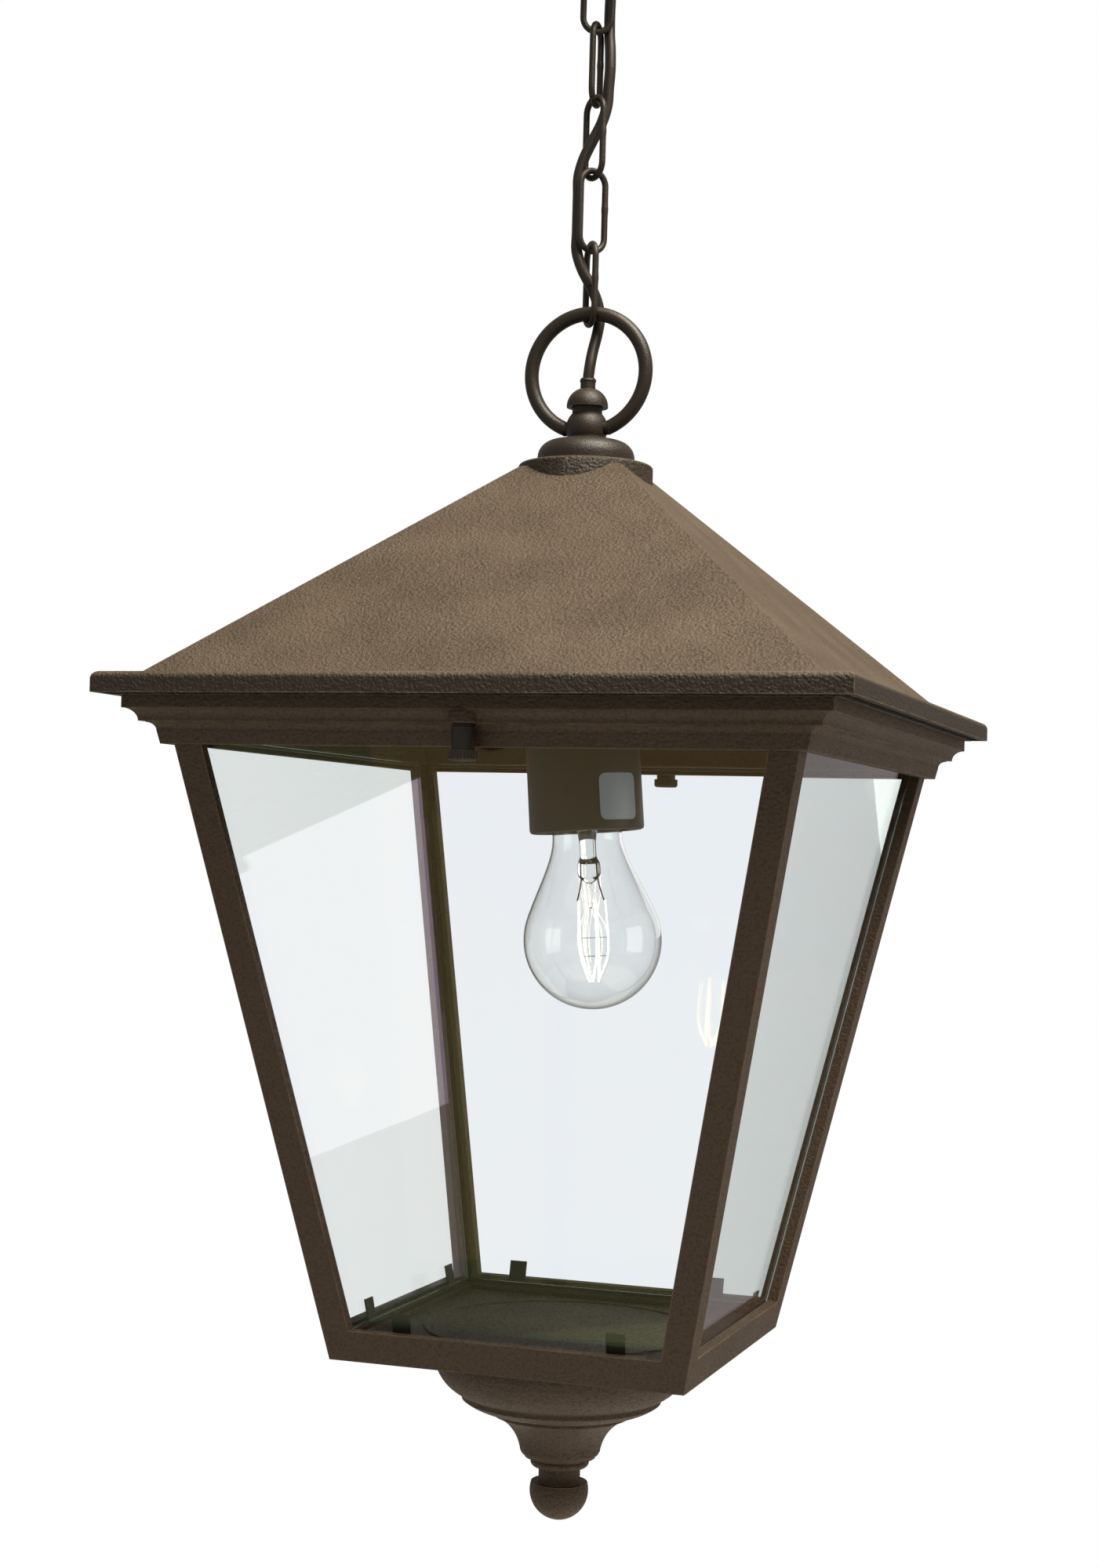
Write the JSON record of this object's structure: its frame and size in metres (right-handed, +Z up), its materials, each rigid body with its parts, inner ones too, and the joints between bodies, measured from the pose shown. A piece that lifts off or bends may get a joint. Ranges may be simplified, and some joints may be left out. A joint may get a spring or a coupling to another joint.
{
  "type": "hanging lantern",
  "caption": "Glazed, tapered square lantern under a pyramid roof, with a clear lamp on a screw lampholder, hung by a ring and chain from a round ceiling cup.",
  "frame": {"origin": "centre of the ceiling face, on the chain's axis; the lantern hangs below it", "axes": "+Z up through the ceiling, -Y out of the front pane, +X to the viewer's right; the carrying ring lies in the XZ plane"},
  "size_m": [0.308, 0.308, 0.73],
  "materials": {
    "bronze_coat": "textured bronze powder coat on cast aluminium",
    "brown_steel": "dark brown coat on steel",
    "zinc_steel": "zinc plated",
    "cable_sheath": "dark brown matt sheath",
    "black_rubber": "matt black rubber",
    "white_plastic": "matt ivory plastic",
    "ceramic_insert": "glazed white",
    "holder_plastic": "charcoal thermoplastic, satin",
    "holder_brass": "plain brass",
    "label": "pale blank label",
    "live_core": "brown insulation",
    "neutral_core": "blue insulation",
    "lamp_glass": "clear, thin",
    "lamp_cap": "bright aluminium",
    "filament_wire": "glowing tungsten",
    "pane_glass": "clear with a faint cool tint"
  },
  "bodies": {
    "ceiling": {"ceiling_strap": "zinc_steel", "ceiling_cup": "brown_steel", "ceiling_hook": "brown_steel", "hook_nuts": "zinc_steel", "cable_grommet": "black_rubber", "terminal_block": "white_plastic", "cable_1": "cable_sheath"},
    "link_1": {"chain_link_1": "brown_steel", "cable_2": "cable_sheath"},
    "link_2": {"chain_link_2": "brown_steel", "cable_3": "cable_sheath"},
    "link_3": {"chain_link_3": "brown_steel", "cable_4": "cable_sheath"},
    "link_4": {"chain_link_4": "brown_steel", "cable_5": "cable_sheath"},
    "link_5": {"chain_link_5": "brown_steel", "cable_6": "cable_sheath"},
    "ring": {"carrying_ring": "brown_steel", "cable_7": "cable_sheath"},
    "head": {"neck": "bronze_coat", "gland_nut": "bronze_coat", "gland_seal": "black_rubber", "cap_disc": "bronze_coat", "neck_lock_nut": "zinc_steel", "roof_shell": "bronze_coat", "roof_seal": "black_rubber", "holder_strap": "zinc_steel", "strap_screws": "zinc_steel", "holder_nipple": "zinc_steel", "nipple_nut": "zinc_steel", "holder_cover": "holder_plastic", "holder_skirt": "holder_plastic", "holder_insert": "ceramic_insert", "screw_shell": "holder_brass", "holder_contact": "holder_brass", "rating_label": "label", "live_wire": "live_core", "neutral_wire": "neutral_core"},
    "lamp": {"bulb_glass": "lamp_glass", "bulb_cap": "lamp_cap", "bulb_tip": "lamp_cap", "bulb_stem": "lamp_glass", "bulb_wires": "filament_wire", "filament": "filament_wire"},
    "cage": {"cornice": "bronze_coat", "cage_frame": "bronze_coat", "frame_screws": "zinc_steel", "pane_front": "pane_glass", "pane_right": "pane_glass", "pane_back": "pane_glass", "pane_left": "pane_glass", "pane_clips": "brown_steel", "floor_plate": "bronze_coat", "finial_bowl": "bronze_coat", "finial_ball": "bronze_coat", "finial_nut": "zinc_steel"},
    "washer_front": {"screw_washer_front": "black_rubber"},
    "screw_front": {"thumb_screw_front": "brown_steel"},
    "washer_back": {"screw_washer_back": "black_rubber"},
    "screw_back": {"thumb_screw_back": "brown_steel"}
  },
  "joints": [
    {"name": "link_1_swing", "type": "hinge", "parent": "ceiling", "child": "link_1", "pos_m": [0, 0, -0.048], "axis": [-0.342, 0.9397, 0], "range_deg": [-14, 14], "deforming": ["cable_1"]},
    {"name": "link_2_swing", "type": "hinge", "parent": "link_1", "child": "link_2", "pos_m": [0, 0, -0.07965], "axis": [0.9397, 0.342, 0], "range_deg": [-14, 14], "deforming": ["cable_2"]},
    {"name": "link_3_swing", "type": "hinge", "parent": "link_2", "child": "link_3", "pos_m": [0, 0, -0.11215], "axis": [-0.0349, 0.9994, 0], "range_deg": [-14, 14], "deforming": ["cable_3"]},
    {"name": "link_4_swing", "type": "hinge", "parent": "link_3", "child": "link_4", "pos_m": [0, 0, -0.14465], "axis": [0.809, -0.5878, 0], "range_deg": [-14, 14], "deforming": ["cable_4"]},
    {"name": "link_5_swing", "type": "hinge", "parent": "link_4", "child": "link_5", "pos_m": [0, 0, -0.17715], "axis": [0.6428, 0.766, 0], "range_deg": [-14, 14], "deforming": ["cable_5"]},
    {"name": "ring_slide_round", "type": "hinge", "parent": "link_5", "child": "ring", "pos_m": [0, 0, -0.23115], "axis": [0, 1, 0], "range_deg": [-20, 20], "deforming": ["cable_6"]},
    {"name": "lantern_swing", "type": "hinge", "parent": "ring", "child": "head", "pos_m": [0, 0, -0.25565], "axis": [1, 0, 0], "range_deg": [-25, 25], "deforming": ["cable_7"]},
    {"name": "cage_drop", "type": "slide", "parent": "head", "child": "cage", "axis": [0, 0, -1], "range_m": [0, 0.14]},
    {"name": "lamp_withdraw", "type": "slide", "parent": "head", "child": "lamp", "axis": [0.0698, 0, -0.9976], "range_m": [0, 0.1]},
    {"name": "screw_travel_front", "type": "slide", "parent": "cage", "child": "washer_front", "axis": [0, 0, -1], "range_m": [0, 0.0056]},
    {"name": "screw_turn_front", "type": "hinge", "parent": "washer_front", "child": "screw_front", "pos_m": [0, -0.1395, -0.40315], "axis": [0, 0, -1], "range_deg": [0, 2520]},
    {"name": "screw_travel_back", "type": "slide", "parent": "cage", "child": "washer_back", "axis": [0, 0, -1], "range_m": [0, 0.0056]},
    {"name": "screw_turn_back", "type": "hinge", "parent": "washer_back", "child": "screw_back", "pos_m": [0, 0.1395, -0.40315], "axis": [0, 0, -1], "range_deg": [0, 2520]}
  ],
  "couplings": [
    {"joint": "screw_turn_front", "follows": "screw_travel_front", "rad_per_m": 7854},
    {"joint": "screw_turn_back", "follows": "screw_travel_back", "rad_per_m": 7854}
  ]
}
